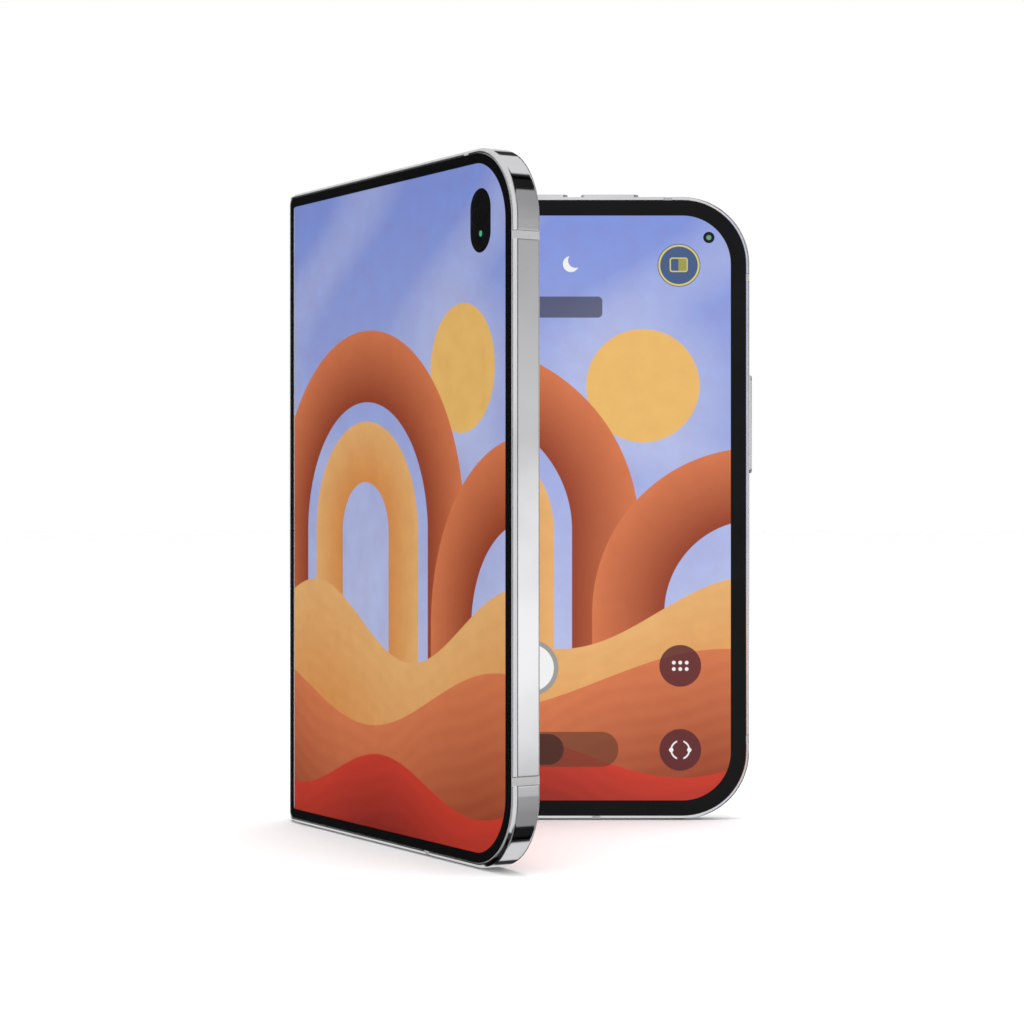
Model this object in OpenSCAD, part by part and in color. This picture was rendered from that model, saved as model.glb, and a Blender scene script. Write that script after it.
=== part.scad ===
/* [Body] */

// Height of the phone, standing on its long edge
body_h = 120.6; // [110:0.1:130]

// Width of one half, from the hinge axis to the free edge
half_w = 84.8; // [80:0.1:90]

// Thickness of one half
half_t = 5.0; // [4.8:0.1:6]

// Angle between the halves, 0 is closed
open_angle = 59.2; // [5:0.1:175]

// Corner radius at the free edge
corner_r = 13; // [11:0.5:14]

// Corner radius at the hinge
hinge_corner_r = 2.2; // [2.1:0.1:3]

// Chamfer of the frame's long edge beside the outer glass
edge_c = 0.6; // [0.4:0.01:0.7]

// Chamfer of the frame's long edge beside the inner display
inner_c = 0.2; // [0.1:0.01:0.4]

// Thickness of the frame's wall
wall_t = 2.0; // [1.9:0.05:2.1]

/* [Displays] */

// Width of the frame's lip round the inner display
inner_lip = 0.66; // [0.6:0.02:0.9]

// Distance from the outside to the lit area of the inner display
inner_border = 3.6; // [3.4:0.1:4.5]

// Height of the raised rim over the inner display
rim_t = 0.25; // [0.2:0.05:0.35]

// Length of display that bends, on each side of the hinge axis
bend_half = 8; // [7:0.5:9]

// Width of the frame's lip round the outer glass
outer_lip = 0.85; // [0.5:0.05:0.9]

// Thickness of the outer glass
glass_t = 0.7; // [0.5:0.05:0.8]

// Width of the cover camera's pill
pill_w = 6.9; // [5:0.1:8]

// Height of the cover camera's pill
pill_h = 10.8; // [9:0.1:13]

/* [Buttons] */

// Height the buttons stand out of the frame
button_out = 0.65; // [0.4:0.05:0.9]

// Length of each volume button
volume_len = 11.2; // [9:0.1:12]

// Length of the power button
power_len = 19; // [12:0.5:22]

// How far a button travels
button_travel = 0.3; // [0.2:0.05:0.4]

/* [Cameras] */

// Width of the camera island
island_w = 42; // [38:0.5:46]

// Height of the camera island
island_h = 17; // [16:0.5:19]

// How far the camera island stands out
island_out = 1.4; // [0.8:0.1:2]

// Radius of a rear camera's glass
lens_r = 4.6; // [4:0.1:5]

/* [Hinge] */

// Outer radius of the spine
spine_r = 4.1; // [3.9:0.05:4.15]

// Gap between the spine and the halves
spine_gap = 0.15; // [0.1:0.01:0.2]

/* [Hidden] */

$fn = 96;

// Bodies that slide past each other keep this clearance
slide_gap = 0.05;

// A cut reaches this far past a face
past = 1;

// Depths are counted from the plane where the halves meet
display_t = 0.5;
plate_t = 0.3;
floor_t = 0.6;
display_d = rim_t;
plate_d = display_d + display_t;
floor_d = plate_d + plate_t;
inside_d = floor_d + floor_t;
glass_d = half_t - glass_t;
wall_mid_d = (inside_d + glass_d) / 2;
inside_t = glass_d - inside_d;
screen_t = 0.5;
bar_d = glass_d - screen_t;

// The row's origin is the middle of the base
min_x = -half_t * sin(open_angle);
max_x = half_w + button_out;
ring_t = 0.5;
max_y = half_t + island_out + ring_t;
min_y = -half_w * sin(open_angle) - half_t * cos(open_angle);
centre_x = (min_x + max_x) / 2;
centre_y = (min_y + max_y) / 2;

// Hinge
pocket_r = spine_r + spine_gap;
cover_t = 0.7;
base_r = spine_r - cover_t;
cover_chord = floor_d + 0.1;
base_chord = floor_d + 0.2;
cap_chord = 0.3;
end_gap = 0.3;
cap_t = 0.9;
arm_t = 0.9;
arm_gap = 0.1;
arm_low = 0.3;
arm_len = 12;
rail_in = 2.2;
rail_out = 3.0;
rail_end = 150;
arm_a_z = end_gap + cap_t + arm_gap;
arm_b_z = arm_a_z + arm_t + arm_gap;
base_end_z = arm_b_z + arm_t + arm_gap;
panel_z = base_end_z + arm_gap;
bend_room = 2.3;
bend_end = bend_half + 0.3;

// Edge features
band_w = 1.3;
band_deep = 1.2;
band_side = 15.6;
band_top = 15.8;
band_bottom = 29.7;
button_w = min(2.0, inside_t - 0.3);
button_d = inside_d + 0.02 + button_w / 2;
flange_t = 0.4;
flange_more = 0.8;
volume_gap = 2.6;
volume_right = half_w - 21.4;
volume_2_x = volume_right - volume_len / 2;
volume_1_x = volume_2_x - volume_len - volume_gap;
power_z = body_h - 44;
usb_w = 8.94;
usb_h = min(3.1, inside_t + floor_t - 0.05);
usb_d = glass_d - usb_h / 2;
usb_wall = 0.3;
usb_deep = 7.2;
tongue_w = 6.6;
tongue_t = 0.7;
usb_x = half_w / 2;
sim_w = 16;
sim_face = 1.5;
sim_deep = 13;
sim_x = 22;
sim_d = inside_d + 1.2;
speaker_x = half_w - 19.5;
grille_r = 0.5;
grille_pitch = 2;

magnet_w = 1.8;
magnet_t = 1.6;
magnet_len = 12;
magnet_low = 26;
magnet_high = 31;

// Inside
core_x = 11;
board_h = 12.6;
board_t = 0.7;
board_z1 = body_h - 28;
board_z0 = board_z1 - board_h;
chip_t = 1.1;
screw_r = 0.5;
battery_z = 21;
battery_to_board = 6;
battery_side = 7;
front_battery_z = 24;
front_battery_side = 16;
front_battery_top = 36.6;
coil_up = 26;
module_w = 12;
coil_in = 12;
coil_out = 19.5;
coil_pitch = 1.5;
coil_wire = 1.1;
sub_board_h = 14;
motor_w = 11;
motor_h = 7;
motor_x = half_w - 22;

// Outer side
island_x = half_w - 30;
island_z = body_h - 18;
lens_apart = 14.5;
flash_r = 2;
pill_x = 73.2;
pill_z = body_h - 12.2;
inner_camera_r = 1.1;
inner_camera_in = 7.85;

// Helpers

// Turns a drawing of width, height and minus depth into the standing half
module upright() {
  rotate([90, 0, 0]) children();
}

// Moves the closed position's mirror image of the rear half to the front half's place
module front_half() {
  rotate([0, 0, -open_angle]) mirror([0, 1, 0]) children();
}

// Turns a drawing made about the open phone's spine to the spine's place
module spine_place() {
  rotate([0, 0, 90 - open_angle / 2]) children();
}

// A rectangle with its own corner radius on the hinge side and on the free side
module panel_2d(x0, x1, z0, z1, r0, r1) {
  translate([x0, z0 + r0]) square([x1 - x0 - r1, z1 - z0 - 2 * r0]);
  translate([x0 + r0, z0]) square([x1 - x0 - r0 - r1, z1 - z0]);
  translate([x1 - r1 - past, z0 + r1]) square([r1 + past, z1 - z0 - 2 * r1]);
  for (z = [z0 + r0, z1 - r0]) translate([x0 + r0, z]) circle(r0);
  for (z = [z0 + r1, z1 - r1]) translate([x1 - r1, z]) circle(r1);
}

// The half's outline, moved inwards
module outline(inset) {
  panel_2d(inset, half_w - inset, inset, body_h - inset,
    max(hinge_corner_r - inset, 0.2), corner_r - inset);
}

// A slab between two depths
module slab(d0, d1) {
  upright() translate([0, 0, -d1]) linear_extrude(d1 - d0) children();
}

module stadium(length, width) {
  square([length - width, width], center = true);
  for (side = [-1, 1]) translate([side * (length - width) / 2, 0]) circle(width / 2);
}

// The frame both halves have

// A narrow facet softens each chamfer towards the frame's side
facet_in = 0.08;
facet_len = 0.28;
outer_c = min(edge_c, outer_lip - 0.05);

// Section of the frame's wall: across is the distance inwards, down is the depth
module wall_section() {
  near = inner_c - facet_in;
  far = half_t - outer_c + facet_in;
  difference() {
    polygon([[wall_t, 0], [inner_c, 0], [facet_in, -near], [0, -near - facet_len],
      [0, facet_len - far], [facet_in, -far], [outer_c, -half_t], [wall_t, -half_t]]);
    translate([inner_lip, -floor_d]) square([wall_t, floor_d + past]);
    translate([outer_lip, -half_t - past]) square([wall_t, glass_t + past]);
  }
}

// A straight run of wall that faces away from the hinge
module wall_run(length) {
  translate([0, length, 0]) rotate([90, 0, 0]) linear_extrude(length) mirror([1, 0]) wall_section();
}

module wall_corner(r) {
  rotate_extrude(angle = 90) translate([r, 0]) mirror([1, 0]) wall_section();
}

// The wall all round
module wall() {
  free_len = body_h - 2 * corner_r;
  hinge_len = body_h - 2 * hinge_corner_r;
  edge_len = half_w - corner_r - hinge_corner_r;
  upright() {
    translate([half_w, corner_r, 0]) wall_run(free_len);
    translate([0, body_h - hinge_corner_r, 0]) rotate([0, 0, 180]) wall_run(hinge_len);
    translate([half_w - corner_r, body_h, 0]) rotate([0, 0, 90]) wall_run(edge_len);
    translate([hinge_corner_r, 0, 0]) rotate([0, 0, -90]) wall_run(edge_len);
    translate([half_w - corner_r, body_h - corner_r, 0]) wall_corner(corner_r);
    translate([half_w - corner_r, corner_r, 0]) rotate([0, 0, -90]) wall_corner(corner_r);
    translate([hinge_corner_r, body_h - hinge_corner_r, 0]) rotate([0, 0, 90]) wall_corner(hinge_corner_r);
    translate([hinge_corner_r, hinge_corner_r, 0]) rotate([0, 0, 180]) wall_corner(hinge_corner_r);
  }
}

// Where the antenna breaks are, as a slab through the wall
module band_slabs() {
  thick = half_t + 2 * past;
  for (z = [band_side, body_h - band_side])
    translate([half_w - band_deep, -past, z - band_w / 2]) cube([band_deep + past, thick, band_w]);
  translate([half_w - band_top - band_w / 2, -past, body_h - band_deep])
    cube([band_w, thick, band_deep + past]);
  translate([half_w - band_bottom - band_w / 2, -past, -past]) cube([band_w, thick, band_deep + past]);
}

// The floor between the display and the inside, with its bar along the hinge
module floor_and_bar() {
  slab(floor_d, inside_d) panel_2d(bend_end, half_w - wall_t + 0.4, wall_t - 0.4, body_h - wall_t + 0.4,
    0.2, corner_r - wall_t + 0.4);
  translate([wall_t - 0.4, bend_room, wall_t - 0.4])
    cube([bend_end + 1.2 - wall_t + 0.4, bar_d - bend_room, body_h - 2 * wall_t + 0.8]);
  translate([bend_end, inside_d - 0.1, wall_t - 0.4])
    cube([1.2, bar_d - inside_d + 0.1, body_h - 2 * wall_t + 0.8]);
}

module hinge_pocket() {
  translate([0, 0, -past]) cylinder(r = pocket_r, h = body_h + 2 * past);
}

module plain_frame() {
  difference() {
    union() {
      wall();
      floor_and_bar();
    }
    hinge_pocket();
    band_slabs();
    // room for the display's bend
    translate([-past, -past, panel_z - arm_gap])
      cube([bend_end + past, bend_room + past, body_h - 2 * (panel_z - arm_gap)]);
  }
}

module antenna_bands() {
  intersection() {
    wall();
    band_slabs();
  }
}

// Pieces of the hinge

module hinge_arms(z) {
  for (z0 = [z, body_h - z - arm_t]) translate([0, 0, z0]) {
    difference() {
      cylinder(r = rail_out, h = arm_t);
      translate([0, 0, -past]) cylinder(r = rail_in, h = arm_t + 2 * past);
      translate([-half_w, arm_low - half_w, -past]) cube([2 * half_w, half_w, arm_t + 2 * past]);
      rotate([0, 0, rail_end]) translate([0, 0, -past]) cube([half_w, half_w, arm_t + 2 * past]);
    }
    difference() {
      translate([rail_in, arm_low, 0]) cube([arm_len - rail_in, floor_d - arm_low, arm_t]);
      translate([0, 0, -past]) cylinder(r = rail_in, h = arm_t + 2 * past);
    }
  }
}

// Half a disc that lies beyond the chord, seen as when the phone is open
module half_disc(r, chord, z0, z1) {
  intersection() {
    translate([0, 0, z0]) cylinder(r = r, h = z1 - z0);
    translate([-r, chord, z0 - past]) cube([2 * r, r, z1 - z0 + 2 * past]);
  }
}

module arc_groove(z) {
  for (z0 = [z, body_h - z - arm_t]) translate([0, 0, z0 - slide_gap])
    difference() {
      cylinder(r = rail_out + slide_gap, h = arm_t + 2 * slide_gap);
      translate([0, 0, -past]) cylinder(r = rail_in - slide_gap, h = arm_t + 2 * past);
    }
}

// Other pieces both halves have

module display_panel() {
  slab(display_d, plate_d) panel_2d(bend_half, half_w - panel_z, panel_z, body_h - panel_z,
    0.01, corner_r - panel_z);
}

// A thin plate behind the panel
module support_plate() {
  slab(plate_d, floor_d) panel_2d(bend_end, half_w - panel_z, panel_z, body_h - panel_z,
    0.01, corner_r - panel_z);
}

// The plastic rim round the inner display, open towards the hinge
module rim() {
  slab(0, rim_t) difference() {
    panel_2d(spine_r + 0.4, half_w - inner_lip, inner_lip, body_h - inner_lip, 0.3, corner_r - inner_lip);
    panel_2d(-past, half_w - inner_border, inner_border, body_h - inner_border,
      0.01, corner_r - inner_border);
  }
  slab(rim_t, floor_d) difference() {
    panel_2d(arm_len + 0.2, half_w - inner_lip, inner_lip, body_h - inner_lip, 0.3, corner_r - inner_lip);
    panel_2d(-past, half_w - panel_z, panel_z, body_h - panel_z, 0.01, corner_r - panel_z);
  }
}

module outer_glass_2d() {
  outline(outer_lip + slide_gap);
}

module magnets() {
  for (z = [magnet_low, body_h - magnet_high]) translate([half_w - wall_t - magnet_w - 0.4, inside_d, z])
    cube([magnet_w, magnet_t, magnet_len]);
}

// A cell with its folded end and tab
cell_r = 1.5;
fold_in = 6;
fold_h = 2.2;
tab_in = 12;
tab_w = 8;
tab_h = 1.6;

module battery_cell(x0, x1, z0, z1, deep) {
  slab(inside_d, inside_d + deep) panel_2d(x0, x1, z0, z1, cell_r, cell_r);
  translate([x0 + fold_in, inside_d, z1 - cell_r])
    cube([x1 - x0 - 2 * fold_in, deep * 0.45, fold_h + cell_r]);
  translate([x0 + tab_in, inside_d, z1]) cube([tab_w, deep * 0.3, fold_h + tab_h]);
}

// Rear half

// Each puts a drawing made on the edge, +Z outwards, at its button
module at_volume_1() {
  translate([volume_1_x, button_d, body_h]) children();
}

module at_volume_2() {
  translate([volume_2_x, button_d, body_h]) children();
}

module at_power() {
  translate([half_w, button_d, power_z]) rotate([0, 90, 0]) children();
}

crown_t = 0.15;
crown_in = 0.24;

module button(length) {
  translate([0, 0, -wall_t - flange_t]) linear_extrude(wall_t + flange_t + button_out - crown_t)
    stadium(length, button_w);
  translate([0, 0, button_out - crown_t]) linear_extrude(crown_t)
    stadium(length - crown_in, button_w - crown_in);
  translate([0, 0, -wall_t - flange_t]) linear_extrude(flange_t)
    stadium(length + 2 * flange_more, button_w);
}

module button_hole(length) {
  translate([0, 0, -wall_t - past]) linear_extrude(wall_t + 2 * past)
    stadium(length + 2 * slide_gap, button_w + 2 * slide_gap);
}

// The switch under a button, with its strip on the floor
module button_switch(length) {
  top = -wall_t - flange_t - button_travel - slide_gap;
  translate([-2, -button_w / 2 + 0.2, top - 0.9]) cube([4, button_w - 0.4, 0.9]);
  translate([-length / 2, inside_d - button_d, top - 1.1]) cube([length, button_w, 0.2]);
}

module grille_holes() {
  for (i = [-2:2]) translate([speaker_x + i * grille_pitch, wall_mid_d, -past])
    cylinder(r = grille_r, h = wall_t + 2 * past);
}

module inner_camera_spot() {
  translate([half_w - inner_camera_in, body_h - inner_camera_in]) children();
}

// The SIM tray and its cage are drawn from the edge inwards
module at_sim_tray() {
  translate([sim_x, 0, body_h]) mirror([0, 0, 1]) children();
}

module rear_frame() color([0.75, 0.75, 0.76]) difference() {
  plain_frame();
  at_volume_1() button_hole(volume_len);
  at_volume_2() button_hole(volume_len);
  at_power() button_hole(power_len);
  // charging port, microphone and loudspeaker grille, through the lower edge
  translate([usb_x, usb_d, -past]) linear_extrude(usb_deep + past) stadium(usb_w, usb_h);
  translate([usb_x + 9, wall_mid_d, -past]) cylinder(r = 0.4, h = wall_t + 2 * past);
  grille_holes();
  // SIM tray, through the upper edge
  at_sim_tray() translate([0, sim_d, -past]) linear_extrude(wall_t + 2 * past)
    stadium(sim_w + 2 * slide_gap, sim_face + 2 * slide_gap);
  slab(floor_d - past, inside_d + past) inner_camera_spot() circle(inner_camera_r);
}

module rear_antenna_bands() color([0.68, 0.68, 0.69]) antenna_bands();

module lens_spots() {
  for (side = [-1, 1]) translate([island_x + side * lens_apart / 2 - 5, island_z]) children();
}

module flash_spot() {
  translate([island_x + island_w / 2 - 5.5, island_z]) children();
}

module back_glass() color([0.3, 0.31, 0.33]) slab(glass_d, half_t) difference() {
  outer_glass_2d();
  lens_spots() circle(lens_r);
  flash_spot() circle(flash_r);
}

module camera_island() color([0.62, 0.62, 0.64]) slab(half_t, half_t + island_out) difference() {
  translate([island_x, island_z]) stadium(island_w, island_h);
  lens_spots() circle(lens_r);
  flash_spot() circle(flash_r);
}

module camera_rings() color([0.8, 0.8, 0.82])
  slab(half_t + island_out, half_t + island_out + ring_t) lens_spots() difference() {
    circle(lens_r + 1);
    circle(lens_r);
  }

module camera_lenses() color([0.1, 0.1, 0.14])
  slab(half_t + island_out - 0.3, half_t + island_out + 0.3) lens_spots() circle(lens_r);

module camera_flash() color([0.95, 0.93, 0.85])
  slab(glass_d, half_t + island_out) flash_spot() circle(flash_r);

module camera_modules() color([0.2, 0.2, 0.22]) {
  slab(inside_d, glass_d) lens_spots() square(module_w, center = true);
  slab(glass_d, half_t + island_out - 0.3) lens_spots() difference() {
    circle(lens_r - 0.3);
    circle(1.6);
  }
}

module inner_display_rear() color([0.1, 0.12, 0.3]) difference() {
  display_panel();
  slab(-past, floor_d) inner_camera_spot() circle(inner_camera_r);
}

// The strip over the hinge follows the rear half at one end and the front half at the other.
// A point of it turns by its share of the fold, which comes from how far along it then lies.
bend_steps = 48;
settle_steps = 40;
fold_left = 180 - open_angle;

function ease(t) = let(k = min(1, max(0, t))) k * k * (3 - 2 * k);
function spun(p, a) = [p[0] * cos(a) - p[1] * sin(a), p[0] * sin(a) + p[1] * cos(a)];

bend_from = [bend_half, display_d];
bend_way = spun([-bend_half, display_d], fold_left) - bend_from;

function along(p) = (p - bend_from) * bend_way / (bend_way * bend_way);
function settle(p, share, n) = n == 0 ? share :
  settle(p, (share + ease(along(spun(p, share * fold_left)))) / 2, n - 1);
function bent(s, d) = spun([s, d], fold_left * settle([s, d], 0.5, settle_steps));

module display_bend() color([0.1, 0.12, 0.3]) {
  front = [for (i = [0:bend_steps]) bent(bend_half * (1 - 2 * i / bend_steps), display_d)];
  back = [for (i = [bend_steps:-1:0]) bent(bend_half * (1 - 2 * i / bend_steps), plate_d)];
  translate([0, 0, panel_z]) linear_extrude(body_h - 2 * panel_z) polygon(concat(front, back));
}

module rear_rim() color([0.05, 0.05, 0.05]) rim();

module inner_camera() color([0.05, 0.06, 0.08]) {
  slab(display_d + 0.1, inside_d + 1.8) inner_camera_spot() circle(inner_camera_r);
  slab(inside_d, inside_d + 1.8) inner_camera_spot() square(5, center = true);
}

module rear_support_plate() color([0.6, 0.6, 0.62]) difference() {
  support_plate();
  slab(-past, inside_d) inner_camera_spot() circle(inner_camera_r);
}

module screw_spots() {
  for (x = [14, half_w - 22], z = [board_z0 + 2, board_z1 - 2]) translate([x, z]) children();
}

module main_board() color([0.08, 0.3, 0.2]) {
  slab(inside_d, inside_d + board_t) difference() {
    translate([core_x, board_z0]) square([half_w - core_x - 19, board_h]);
    screw_spots() circle(screw_r);
  }
  // three chips: where each starts, its width and its height
  for (chip = [[20, 9, 9], [32, 11, 8], [46, 6, 5]]) slab(inside_d + board_t, inside_d + board_t + chip_t)
    translate([chip[0], board_z0 + 1.5]) square([chip[1], chip[2]]);
}

module board_screws() color([0.7, 0.7, 0.72]) {
  slab(inside_d, inside_d + board_t) screw_spots() circle(screw_r);
  slab(inside_d + board_t, inside_d + board_t + 0.4) screw_spots() circle(2 * screw_r);
}

battery_t = inside_t - 0.3;

module rear_battery() color([0.15, 0.15, 0.16])
  battery_cell(core_x, half_w - battery_side, battery_z, board_z0 - battery_to_board, battery_t);

module charging_coil() color([0.7, 0.4, 0.2])
  slab(inside_d + battery_t, glass_d) translate([half_w / 2, battery_z + coil_up])
    for (r = [coil_in:coil_pitch:coil_out]) difference() {
      circle(r + coil_wire);
      circle(r);
    }

module usb_shell() color([0.7, 0.7, 0.72]) translate([usb_x, usb_d, 0.2])
  linear_extrude(usb_deep - 0.2) difference() {
    stadium(usb_w, usb_h);
    stadium(usb_w - 2 * usb_wall, usb_h - 2 * usb_wall);
  }

// The tongue a plug slides over, on its block at the back of the shell
module usb_tongue() color([0.12, 0.12, 0.13]) translate([usb_x, usb_d, 0]) {
  translate([-tongue_w / 2, -tongue_t / 2, 1]) cube([tongue_w, tongue_t, usb_deep - 1]);
  translate([0, 0, usb_deep - 1]) linear_extrude(1) stadium(usb_w - 2 * usb_wall, usb_h - 2 * usb_wall);
}

module loudspeaker() color([0.1, 0.1, 0.11])
  slab(inside_d, glass_d) translate([speaker_x - 7, wall_t]) square([13, 10]);

module rear_hinge_arms() color([0.6, 0.6, 0.63]) hinge_arms(arm_a_z);

module button_switches() color([0.5, 0.42, 0.2]) {
  at_volume_1() button_switch(volume_len);
  at_volume_2() button_switch(volume_len);
  at_power() button_switch(power_len);
}

module sim_cage() color([0.65, 0.65, 0.67]) {
  high = sim_d + sim_face / 2 + 0.6;
  at_sim_tray() translate([0, 0, wall_t]) difference() {
    translate([-sim_w / 2 - 0.7, inside_d, 0]) cube([sim_w + 1.4, high - inside_d, sim_deep + 1.5]);
    translate([-sim_w / 2 - slide_gap, sim_d - sim_face / 2 - slide_gap, -past])
      cube([sim_w + 2 * slide_gap, sim_face + 2 * slide_gap, sim_deep + 1 + past]);
  }
}

module rear_magnets() color([0.5, 0.5, 0.52]) magnets();

// Pieces that travel in the rear half

module volume_up() color([0.78, 0.78, 0.79]) at_volume_1() button(volume_len);

module volume_down() color([0.78, 0.78, 0.79]) at_volume_2() button(volume_len);

module power_button() color([0.78, 0.78, 0.79]) at_power() button(power_len);

module sim_tray() color([0.72, 0.72, 0.74]) at_sim_tray() translate([0, sim_d, 0]) {
  difference() {
    linear_extrude(wall_t) stadium(sim_w, sim_face);
    translate([sim_w / 2 - 1.6, 0, -past]) cylinder(r = 0.4, h = past + 1.2);
  }
  difference() {
    translate([-sim_w / 2 + 0.6, -0.4, wall_t]) cube([sim_w - 1.2, 0.8, sim_deep - 0.3]);
    translate([-sim_w / 2 + 1.6, 0, wall_t + 1]) cube([sim_w - 3.2, 1, sim_deep - 2.3]);
  }
}

// Front half

module front_frame() color([0.75, 0.75, 0.76]) front_half() difference() {
  plain_frame();
  for (i = [-3:3]) translate([half_w / 2 + i * 1.4, wall_mid_d, body_h - wall_t - past])
    cylinder(r = 0.4, h = wall_t + 2 * past);
}

module front_antenna_bands() color([0.68, 0.68, 0.69]) front_half() antenna_bands();

module pill_2d() {
  translate([pill_x, pill_z]) rotate([0, 0, 90]) stadium(pill_h, pill_w);
}

screen_in = wall_t + 0.1;
glue_t = 0.03;
camera_drop = 0.1;

module cover_glass() color([0.6, 0.65, 0.7, 0.4]) front_half() slab(glass_d, half_t) outer_glass_2d();

module cover_display() color([0.15, 0.15, 0.35]) front_half() slab(glass_d - screen_t, glass_d - glue_t)
  difference() {
    panel_2d(screen_in, half_w - screen_in, screen_in, body_h - screen_in, 0.5, corner_r - screen_in);
    pill_2d();
  }

lens_z = pill_z + 1.6;
dot_z = pill_z - 2.2;
front_lens_r = 1.3;
dot_r = 0.5;

module cover_camera() color([0.05, 0.05, 0.07]) front_half() {
  slab(glass_d - screen_t, glass_d - camera_drop) difference() {
    pill_2d();
    translate([pill_x, lens_z]) circle(front_lens_r);
    translate([pill_x, dot_z]) circle(dot_r);
  }
  slab(inside_d, glass_d - screen_t) translate([pill_x, lens_z]) square(5.4, center = true);
  slab(glass_d - screen_t, glass_d - 2.5 * camera_drop) translate([pill_x, lens_z]) circle(front_lens_r);
}

module cover_indicator() color([0.1, 0.8, 0.2]) front_half()
  slab(glass_d - screen_t, glass_d - camera_drop) translate([pill_x, dot_z]) circle(dot_r);

module inner_display_front() color([0.1, 0.12, 0.3]) front_half() display_panel();

module front_rim() color([0.05, 0.05, 0.05]) front_half() rim();

module front_support_plate() color([0.6, 0.6, 0.62]) front_half() support_plate();

front_battery_t = inside_t - screen_t;

module front_battery() color([0.15, 0.15, 0.16]) front_half()
  battery_cell(core_x, half_w - front_battery_side, front_battery_z, body_h - front_battery_top,
    front_battery_t);

module sub_board() color([0.08, 0.3, 0.2]) front_half() {
  slab(inside_d, inside_d + board_t) translate([core_x, 6])
    square([motor_x - motor_w / 2 - 2 - core_x, sub_board_h]);
  // two chips: where each starts, its width and its height
  for (chip = [[16, 7, 7], [30, 9, 5]]) slab(inside_d + board_t, inside_d + 2 * board_t)
    translate([chip[0], 8.5]) square([chip[1], chip[2]]);
}

module earpiece() color([0.1, 0.1, 0.11]) front_half()
  slab(inside_d, glass_d - screen_t) translate([half_w / 2 - 7, body_h - wall_t - 6]) square([14, 6]);

module vibration_motor() color([0.7, 0.7, 0.72]) front_half()
  slab(inside_d, glass_d - screen_t) translate([motor_x, 13]) square([motor_w, motor_h], center = true);

module front_hinge_arms() color([0.6, 0.6, 0.63]) front_half() hinge_arms(arm_b_z);

module front_magnets() color([0.5, 0.5, 0.52]) front_half() magnets();

// Spine

rod_r = 0.3;
rod_y = (base_chord + rail_in - slide_gap) / 2;
rod_len = 84;

module spine_cover() color([0.6, 0.6, 0.62]) spine_place() difference() {
  half_disc(spine_r, cover_chord, end_gap + cap_t, body_h - end_gap - cap_t);
  translate([0, 0, -past]) cylinder(r = base_r, h = body_h + 2 * past);
}

module torsion_bar() {
  translate([0, rod_y, (body_h - rod_len) / 2]) cylinder(r = rod_r, h = rod_len);
}

module hinge_base() color([0.5, 0.5, 0.53]) spine_place() difference() {
  half_disc(base_r, base_chord, end_gap + cap_t, body_h - end_gap - cap_t);
  arc_groove(arm_a_z);
  arc_groove(arm_b_z);
  torsion_bar();
}

module spine_end_caps() color([0.66, 0.66, 0.68]) spine_place() {
  half_disc(spine_r, cap_chord, end_gap, end_gap + cap_t);
  half_disc(spine_r, cap_chord, body_h - end_gap - cap_t, body_h - end_gap);
}

module torsion_rod() color([0.75, 0.75, 0.77]) spine_place() torsion_bar();

translate([-centre_x, -centre_y, 0]) {
  rear_frame();
  rear_antenna_bands();
  back_glass();
  camera_island();
  camera_rings();
  camera_lenses();
  camera_flash();
  camera_modules();
  inner_display_rear();
  display_bend();
  rear_rim();
  inner_camera();
  rear_support_plate();
  main_board();
  board_screws();
  rear_battery();
  charging_coil();
  usb_shell();
  usb_tongue();
  loudspeaker();
  rear_hinge_arms();
  button_switches();
  sim_cage();
  rear_magnets();
  front_frame();
  front_antenna_bands();
  cover_glass();
  cover_display();
  cover_camera();
  cover_indicator();
  inner_display_front();
  front_rim();
  front_support_plate();
  front_battery();
  sub_board();
  earpiece();
  vibration_motor();
  front_hinge_arms();
  front_magnets();
  spine_cover();
  hinge_base();
  spine_end_caps();
  torsion_rod();
  volume_up();
  volume_down();
  power_button();
  sim_tray();
}
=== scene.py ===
import bpy
import bmesh
import math
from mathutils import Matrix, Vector


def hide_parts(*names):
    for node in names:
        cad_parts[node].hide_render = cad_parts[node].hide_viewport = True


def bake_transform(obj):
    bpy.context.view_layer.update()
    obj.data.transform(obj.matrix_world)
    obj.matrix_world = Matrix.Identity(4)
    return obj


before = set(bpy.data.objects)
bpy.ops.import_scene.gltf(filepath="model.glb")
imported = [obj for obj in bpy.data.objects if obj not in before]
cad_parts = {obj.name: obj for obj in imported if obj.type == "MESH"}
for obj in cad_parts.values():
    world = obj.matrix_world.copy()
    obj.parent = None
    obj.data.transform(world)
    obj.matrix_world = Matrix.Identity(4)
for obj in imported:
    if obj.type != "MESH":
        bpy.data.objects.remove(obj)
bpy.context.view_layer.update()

mm = 0.001
black = (0, 0, 0, 1)

# sizes of the phone that the finishes and small pieces share, in millimetres
phone = {
    "height": 120.6,
    "halfWidth": 84.8,
    "openAngle": 59.2,      # degrees between the halves
    "cornerRadius": 13.0,
    "hingeAxis": (-40.5776, 34.25),
}

openAngle = math.radians(phone["openAngle"])
foldAngle = math.pi - openAngle     # how far the front half is from lying flat open
axisPoint = Vector((*phone["hingeAxis"], 0)) * mm
frontAlong = Vector((math.cos(openAngle), -math.sin(openAngle), 0))   # hinge to free edge


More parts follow.
